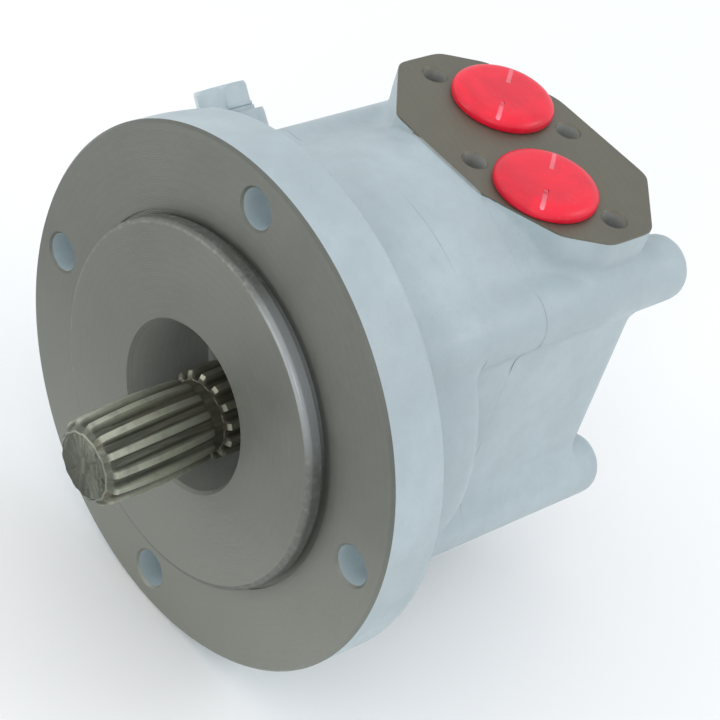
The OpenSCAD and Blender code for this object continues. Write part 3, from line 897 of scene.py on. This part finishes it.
class PUMP_OT_castings(bpy.types.Operator):
    """Casts the flange housing, gear plate and port housing and machines their faces and bores"""

    bl_idname = "pump.castings"
    bl_label = "Castings"

    def execute(self, context):
        sizes, colours = context.scene.pump_casting, context.scene.pump_colours
        joints = (PLATE_LO.y, PLATE_HI.y)
        slit = (0.040, 0.036, 0.013)
        paint = primer_on_iron("iron_primer", tuple(colours.primer), joints, slit)
        face = machined_iron("turned_face", tuple(colours.bare_iron), "rings")
        pad = machined_iron("milled_face", tuple(colours.pad_iron), "mill")
        bore = machined_iron("bored_wall", tuple(colours.bore_iron), "bore", 0.4, 0.2)
        # pilot edge: dull iron with a painted highlight along its upper right
        wear_and_highlight = painted_highlight_edge("pilot_edge", shade(colours.bare_iron, 0.85), (0.32, 0.335, 0.34))
        rough = rough_casting(sizes)
        flange = flange_casting(rough, sizes)
        plate = gear_plate_casting(rough, sizes)
        port = port_casting(rough, sizes)
        discard(rough)
        for (piece, bare), node, finishes in (
            (flange, "flange_housing", (paint, face, bore, wear_and_highlight)),
            (plate, "gear_plate", (paint, bore)),
            (port, "port_housing", (paint, pad, bore)),
        ):
            finish_piece(piece, "casing", finishes, (node,), bare=bare)
        return {"FINISHED"}


# ---- the coupling shaft ----


def droop_turn(sizes):
    """The turn that hangs the straight shaft to its stop, about the middle of its inner spline."""
    axis = Vector((math.cos(sizes.lean), 0, math.sin(sizes.lean)))
    hang = Matrix.Rotation(sizes.droop, 4, axis)
    return Matrix.Translation(SHAFT_PIVOT) @ hang @ Matrix.Translation(-SHAFT_PIVOT)


def tooth_radius(share, root, tip):
    """Radius of a straight-sided tooth at a share of its pitch, with eased corners."""
    off = abs(share - 0.5) * 2
    rise = max(0.0, min(1.0, (0.62 - off) / 0.30))
    rise = rise * rise * (3 - 2 * rise)
    return root + (tip - root) * rise


def splined_bar(stations, teeth, per_tooth=12):
    """A bar with spline teeth; each station gives (y, root radius, tip radius)."""

    def shape(verts, y, root, tip):
        for vert in verts:
            a = math.atan2(vert.co.z, vert.co.x)
            share = (a / math.tau * teeth + 0.5) % 1.0
            r = tooth_radius(share, root, tip)
            vert.co = Vector((r * math.cos(a), y, r * math.sin(a)))

    return drawn_bar(teeth * per_tooth, stations, shape)


def crowned(y, y0, y1, radius, arc):
    """Radius at y of a tooth top that is crowned along an arc between y0 and y1."""
    middle = (y0 + y1) / 2
    return radius - (arc - math.sqrt(arc * arc - (y - middle) ** 2))


INNER_START, INNER_END, INNER_TEETH = 0.073, 0.087, 12


def coupling_shaft(sizes):
    """One bar from the chamfered tip to the inner spline, with crowned teeth at both ends."""
    tip, relief, back = -0.047, -0.004, 0.016
    root, top, neck = sizes.root_radius, sizes.spline_radius, 0.0103
    stations = [(tip + 0.0065, 0.0010, 0.0010), (tip + 0.0030, 0.0014, 0.0014)]
    stations += [(tip, 0.0034, 0.0034), (tip, root - 0.0016, root - 0.0013)]
    stations.append((tip + 0.0003, root - 0.0011, top - 0.0034))
    arc, steps = 0.19, 14
    stations.append((tip + 0.0022, root, crowned(tip + 0.0022, tip, relief, top, arc) - 0.0004))
    for k in range(steps + 1):
        y = tip + 0.0030 + (relief - 0.0014 - tip - 0.0030) * k / steps
        stations.append((y, root, crowned(y, tip, relief, top, arc)))
    stations.append((relief - 0.0003, root - 0.0001, top - 0.0016))
    stations += [(y, root - 0.0004, root - 0.0003) for y in (relief, relief + 0.004)]
    stations.append((relief + 0.0043, root - 0.0001, top - 0.0012))
    for k in range(5):
        stations.append((relief + 0.0052 + 0.0105 * k / 4, root, top))
    stations += [(back - 0.0020, root - 0.0006, root + 0.0009), (back, neck, neck + 0.0001)]
    stations += [(y, neck, neck) for y in (back + 0.006, 0.045, INNER_START - 0.0004)]
    return splined_bar(stations, sizes.teeth)


def inner_spline():
    """The crowned spline inside the drive gear."""
    y0, y1, root, top = INNER_START, INNER_END, 0.0102, 0.0131
    stations = [(y0, root - 0.001, root - 0.0008), (y0 + 0.0004, root, top - 0.0012)]
    for k in range(9):
        y = y0 + 0.0010 + (y1 - y0 - 0.0020) * k / 8
        stations.append((y, root, crowned(y, y0, y1, top, 0.040)))
    stations += [(y1 - 0.0004, root, top - 0.0012), (y1, root - 0.001, root - 0.0008)]
    return splined_bar(stations, INNER_TEETH)


class PUMP_OT_shaft(bpy.types.Operator):
    """Cuts the loose coupling shaft with its crowned splines and hangs it to its stop"""

    bl_idname = "pump.shaft"
    bl_label = "Coupling shaft"

    def execute(self, context):
        sizes, colours = context.scene.pump_shaft, context.scene.pump_colours
        bar = object_from(coupling_shaft(sizes), "coupling_shaft_splined")
        carve(bar, inner_spline(), "UNION", "EXACT")
        bar.data.transform(droop_turn(sizes))
        steel = worn_spline("spline_steel", tuple(colours.spline_steel), sizes)
        plain = machined_iron("shaft_end", shade(colours.spline_steel, 0.72), "bore", 0.5)
        straighten = droop_turn(sizes).inverted()

        def end_face(c):
            return 1 if (straighten @ Vector(c)).y < -0.0468 else 0

        finish_piece(
            bar, "coupling_shaft", (steel, plain), ("coupling_shaft",), 30, end_face
        )
        return {"FINISHED"}


# ---- the port plugs ----


def plug_head(sizes):
    """The plug about its own axis: domed head with a soft rim, ribbed hollow stem."""
    r, stem = sizes.head_radius, sizes.stem_radius
    rim = 0.0030
    dome = [
        (r * (0.70 + 0.30 * math.cos(a)), rim * 0.55 + (0.0050 - rim * 0.55) * math.sin(a))
        for a in (math.radians(9 * k) for k in range(10))
    ]
    crown = [(dome[-1][0] * (1 - k / 6), 0.0050 + 0.00004 * k) for k in range(1, 7)]
    ribs = []
    for k in range(7):
        z = -0.0125 + 0.0017 * k
        ribs += [(stem - 0.0005, z - 0.0004), (stem - 0.00005, z), (stem - 0.0005, z + 0.0004)]
    profile = [
        (0, -0.0015),
        (stem - 0.0025, -0.0015),
        (stem - 0.0022, -0.0150),
        (stem - 0.0008, -0.0150),
        (stem - 0.0004, -0.0146),
        *ribs,
        (stem - 0.0005, 0.0000),
        (stem + 0.0001, 0.00005),
        (r - 0.0007, 0.00005),
        (r - 0.0002, 0.0003),
        (r, 0.0009),
        *dome,
        *crown,
    ]
    bm = turned(profile, steps=96)
    swing(bm, bm.verts, ALONG_Z)
    return bm


def port_plug(name, sizes, x, y):
    piece = object_from(plug_head(sizes), name)
    r, half, floor = sizes.head_radius, sizes.slot_width / 2, 0.0039
    for s in (-1, 1):
        slot, middle = bmesh.new(), s * r * 0.66
        made = block(slot, (middle - r * 0.24, -half, floor), (middle + r * 0.37, half, 0.02))
        swing(slot, made, Matrix.Rotation(sizes.slot_angle, 3, "Z"))
        carve(piece, slot, solver="EXACT")
    ease_edges(piece, 0.00022, 2, 50)
    piece.data.transform(Matrix.Translation((x, y, PORT_HI.z)))

    # faces inside the slots take the lighter pink, a painted highlight
    def slot_highlight_faces(c):
        spot = Matrix.Rotation(-sizes.slot_angle, 3, "Z") @ Vector((c.x - x, c.y - y, 0))
        in_slot = abs(spot.y) < half + 0.0001 and abs(spot.x) > r * 0.40
        return 1 if in_slot and floor - 0.0003 < c.z - PORT_HI.z < 0.00475 else 0

    return piece, slot_highlight_faces


class PUMP_OT_plugs(bpy.types.Operator):
    """Moulds the two red plastic plugs with their slotted domed heads"""

    bl_idname = "pump.plugs"
    bl_label = "Port plugs"

    def execute(self, context):
        sizes, colours = context.scene.pump_plugs, context.scene.pump_colours
        plastic = moulded_red("red_plastic", tuple(colours.plastic))
        # lighter pink for the slots: a painted highlight
        wear_and_highlight = moulded_red("slot_highlight_red_plastic", (0.93, 0.24, 0.30))
        for letter, low, high in (("a", PLUG_A_LO, PLUG_A_HI), ("b", PLUG_B_LO, PLUG_B_HI)):
            centre = (low + high) / 2
            node = f"port_plug_{letter}"
            piece, slot_highlight_faces = port_plug(f"{node}_moulded", sizes, centre.x, centre.y)
            finish_piece(piece, node, (plastic, wear_and_highlight), (node,), 40, slot_highlight_faces)
        return {"FINISHED"}


# ---- screws, drain plug and seal ----


def boss_turn():
    """Puts a piece made along Z onto the drain boss."""
    return Matrix.Translation((0, DRAIN_Y, 0)) @ TO_BOSS.to_4x4()


def drain_plug():
    """Hexagon plug with a round collar, chamfered corners and a shallow dish in its top."""
    af, washer = 0.017, 0.0015  # across flats, thickness of the washer under the collar
    seat = DRAIN_SEAT + washer
    top, wide, narrow = seat + 0.0085, af * 0.60, af * 0.50
    hexagon = bmesh.new()
    upright(hexagon, 0, 0, seat + 0.0012, top, af / math.sqrt(3), steps=6)
    piece = object_from(hexagon, "drain_plug_hexagon")
    chamfer = [(0, 0), (wide, 0), (wide, seat + 0.0066), (narrow, top), (0, top)]
    limit = turned(chamfer, steps=72)
    swing(limit, limit.verts, ALONG_Z)
    carve(piece, limit, "INTERSECT")
    collar = turned(
        [
            (0, 0.0765),
            (0.0058, 0.0765),
            (0.0065, 0.0772),
            (0.0065, seat + 0.00002),
            (af * 0.54, seat + 0.00002),
            (af * 0.56, seat + 0.0004),
            (af * 0.56, seat + 0.0012),
            (af * 0.54, seat + 0.0015),
            (0, seat + 0.0015),
        ],
        steps=72,
    )
    swing(collar, collar.verts, ALONG_Z)
    carve(piece, collar, "UNION")
    dish = bmesh.new()
    upright(dish, 0, 0, seat + 0.0079, seat + 0.0095, 0.0050, tip_radius=0.0064, steps=48)
    carve(piece, dish)
    ease_edges(piece, 0.0004, 3, 28)
    piece.data.transform(boss_turn())
    return piece


def socket_screw(x, z, name):
    """Cap screw with a knurled head and a hexagon socket, under the rear bosses."""
    washer, corners, shank, head = 0.002, 96, 0.0049, 0.008
    tip, seat, top = SCREWS_LO.y, SCREW_SEAT + washer, SCREWS_HI.y

    def shape(verts, y, radius, knurl):
        for vert in verts:
            a = math.atan2(vert.co.z, vert.co.x)
            step = round(a / math.tau * corners) % 2
            r = radius - knurl * step
            vert.co = Vector((r * math.cos(a), y, r * math.sin(a)))

    stations = [
        (tip, 0.0041, 0),
        (tip + 0.0008, shank, 0),
        (seat, shank, 0),
        (seat, head - 0.0004, 0),
        (seat + 0.0004, head - 0.00005, 0.0003),
        (top - 0.0016, head - 0.00005, 0.0003),
        (top - 0.0012, head - 0.0003, 0),
        (top, head - 0.0011, 0),
    ]
    piece = object_from(drawn_bar(corners, stations, shape), name)
    socket = bmesh.new()
    rod(socket, top - 0.005, top + 0.002, 0.0046, steps=6)
    carve(piece, socket, solver="EXACT")
    mouth = bmesh.new()
    rod(mouth, top - 0.0006, top + 0.0006, 0.0042, tip_radius=0.0054, steps=48)
    carve(piece, mouth, solver="EXACT")
    piece.data.transform(Matrix.Translation((x, 0, z)))
    return piece


def lip_seal():
    """Rotary seal: steel-backed rim with a flat rubber face and a thin lip."""
    y0, y1 = 0.0305, 0.0384
    lip, rim = 0.01706, 0.0245
    profile = [
        (lip + 0.0012, y0),
        (lip + 0.0024, y0 + 0.0004),
        (rim - 0.0026, y0 + 0.0004),
        (rim - 0.0022, y0),
        (rim - 0.0005, y0),
        (rim - 0.0001, y0 + 0.0005),
        (rim - 0.0001, y1),
        (rim - 0.0014, y1),
        (rim - 0.0015, y0 + 0.002),
        (lip + 0.0026, y0 + 0.002),
        (lip + 0.0026, y0 + 0.004),
        (lip + 0.0020, y0 + 0.0062),
        (lip + 0.0006, y0 + 0.0062),
        (lip, y0 + 0.005),
        (lip + 0.0011, y0 + 0.003),
    ]
    return object_from(turned(profile, closed=True, steps=128), "shaft_seal_lipped")


class PUMP_OT_hardware(bpy.types.Operator):
    """Makes the housing screws, the hexagon drain plug and the lip seal"""

    bl_idname = "pump.hardware"
    bl_label = "Screws, drain plug and seal"

    def execute(self, context):
        sizes, colours = context.scene.pump_casting, context.scene.pump_colours
        black = turned_metal("blackened_steel", (0.045, 0.045, 0.048), 0.8, 0.42)
        parts = [
            socket_screw(x, z, f"housing_screw_{k}")
            for k, (x, z) in enumerate(corner_places(sizes), start=1)
        ]
        for part in parts:
            replaced = ("housing_screws",) if part is parts[0] else ()
            finish_piece(part, "casing", (black,), replaced, 30)
        paint = primer_on_iron("plug_primer", shade(colours.primer, 1.04))
        finish_piece(drain_plug(), "casing", (paint,), ("drain_plug",), 30)
        rubber = seal_rubber("lip_rubber")
        finish_piece(lip_seal(), "casing", (rubber,), ("shaft_seal",), 30)
        return {"FINISHED"}


class PUMP_OT_inner_parts(bpy.types.Operator):
    """Gives the gears, bushes, plates, rings and pins that stay from the frame their metals"""

    bl_idname = "pump.inner_parts"
    bl_label = "Inner parts"

    def execute(self, context):
        gear = turned_metal("ground_gear_steel", (0.46, 0.46, 0.45), 0.95, 0.26, 1.3, 0.2)
        bronze = turned_metal("bearing_bronze", (0.50, 0.30, 0.13), 0.95, 0.36, 1.0, 0.25)
        paint = primer_on_iron("washer_primer", shade(context.scene.pump_colours.primer, 0.98))
        spring = turned_metal("spring_steel", (0.30, 0.30, 0.31), 0.95, 0.32, 1.6, 0.25)
        washer = turned_metal("zinc_washer", (0.42, 0.42, 0.41), 0.9, 0.40, 1.4, 0.3)
        rubber = seal_rubber("ring_rubber")
        for metal, nodes in (
            (gear, ("drive_gear", "driven_gear")),
            (bronze, ("front_drive_bush", "front_driven_bush", "rear_drive_bush")),
            (bronze, ("rear_driven_bush", "front_wear_plate", "rear_wear_plate")),
            (rubber, ("front_joint_ring", "rear_joint_ring")),
            (spring, ("garter_spring", "seal_circlip", "dowel_pins")),
            (washer, ("screw_washers",)),
            (paint, ("drain_washer",)),
        ):
            for node in nodes:
                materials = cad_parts[node].data.materials
                materials.clear()
                materials.append(metal)
        return {"FINISHED"}


# ---- floor, lights and camera ----


def soft_box(name, place, aim, size, power, colour):
    light = bpy.data.lights.new(name, "AREA")
    light.shape = "RECTANGLE"
    light.size, light.size_y = size
    light.energy = power
    light.color = colour
    lamp = bpy.data.objects.new(name, light)
    lamp.location = place
    lamp.rotation_mode = "QUATERNION"
    lamp.rotation_quaternion = (Vector(aim) - Vector(place)).to_track_quat("-Z", "Y")
    bpy.context.scene.collection.objects.link(lamp)


class PUMP_OT_stage(bpy.types.Operator):
    """Lays the pale floor, hangs the soft lights and sets up the camera"""

    bl_idname = "pump.stage"
    bl_label = "Stage"

    def execute(self, context):
        scene = context.scene
        low, high = CAD_BOX
        sheet = bmesh.new()
        bmesh.ops.create_grid(sheet, x_segments=8, y_segments=8, size=6)
        bmesh.ops.translate(sheet, verts=sheet.verts, vec=(0, 0, low.z))
        floor = object_from(sheet, "floor")
        floor.data.materials.append(pale_paper("pale_sheet"))
        self.lights(scene, (low + high) / 2)
        self.camera(scene)
        return {"FINISHED"}

    def lights(self, scene, centre):
        world = bpy.data.worlds.new("soft_room")
        world.use_nodes = True
        sky = world.node_tree.nodes["Background"]
        sky.inputs["Color"].default_value = (0.93, 0.95, 1.0, 1)
        sky.inputs["Strength"].default_value = 0.90
        scene.world = world
        warm, cool = (1.0, 1.0, 0.97), (0.98, 1.0, 1.0)
        pilot_edge, lower_face = (0, 0, 0), (-0.03, 0, -0.06)
        soft_box("key_light", (-0.5, -0.5, 1.6), centre, (2.6, 2.6), 8, warm)
        soft_box("back_light", (0.85, 1.0, 1.05), centre, (0.9, 0.5), 3.5, cool)
        soft_box("edge_light", (0.75, -1.35, 0.70), pilot_edge, (0.30, 0.5), 2.5, (1.0, 1.0, 0.98))
        soft_box("front_light", (-0.45, -0.80, 0.0), lower_face, (0.7, 0.4), 3.2, warm)
        scene.view_settings.view_transform = "Standard"

    def camera(self, scene):
        s = scene.pump_stage
        az, el, roll = s.azimuth, s.elevation, s.roll
        back = Vector((math.sin(az) * math.cos(el), -math.cos(az) * math.cos(el), math.sin(el)))
        level = Vector((math.cos(az), math.sin(az), 0))
        rise = back.cross(level)
        right = level * math.cos(roll) + rise * math.sin(roll)
        up = -level * math.sin(roll) + rise * math.cos(roll)
        lens = bpy.data.cameras.new("camera")
        lens.lens = s.lens
        lens.sensor_width = 36
        lens.clip_start, lens.clip_end = 0.05, 30
        camera = bpy.data.objects.new("camera", lens)
        place = right * s.pan_x + up * s.pan_y + back * s.distance
        aim = Matrix((right, up, back)).transposed().to_4x4()
        camera.matrix_world = Matrix.Translation(place) @ aim
        scene.collection.objects.link(camera)
        scene.camera = camera


class PUMP_PT_panel(bpy.types.Panel):
    """Lists the pump's sizes and colours and the steps that build it"""

    bl_label = "Gear pump"
    bl_idname = "PUMP_PT_panel"
    bl_space_type = "VIEW_3D"
    bl_region_type = "UI"
    bl_category = "Pump"

    def draw(self, context):
        for group in PROPERTY_NAMES:
            box = self.layout.box()
            sizes = getattr(context.scene, group)
            for name in sizes.bl_rna.properties.keys():
                if name not in ("rna_type", "name"):
                    box.prop(sizes, name)
        for operator in OPERATORS:
            self.layout.operator(operator.bl_idname)


OPERATORS = (
    PUMP_OT_castings,
    PUMP_OT_shaft,
    PUMP_OT_plugs,
    PUMP_OT_hardware,
    PUMP_OT_inner_parts,
    PUMP_OT_stage,
)
PROPERTY_NAMES = {
    "pump_casting": PumpCastingSizes,
    "pump_shaft": PumpShaftSizes,
    "pump_plugs": PumpPlugSizes,
    "pump_colours": PumpColours,
    "pump_stage": PumpStageSizes,
}


def register():
    for kind in (*PROPERTY_NAMES.values(), *OPERATORS, PUMP_PT_panel):
        bpy.utils.register_class(kind)
    for name, kind in PROPERTY_NAMES.items():
        setattr(bpy.types.Scene, name, PointerProperty(type=kind))


def unregister():
    for name in PROPERTY_NAMES:
        delattr(bpy.types.Scene, name)
    for kind in (PUMP_PT_panel, *OPERATORS, *PROPERTY_NAMES.values()):
        bpy.utils.unregister_class(kind)


def main():
    register()
    bpy.ops.pump.castings()
    bpy.ops.pump.shaft()
    bpy.ops.pump.plugs()
    bpy.ops.pump.hardware()
    bpy.ops.pump.inner_parts()
    bpy.ops.pump.stage()


if __name__ == "__main__":
    main()
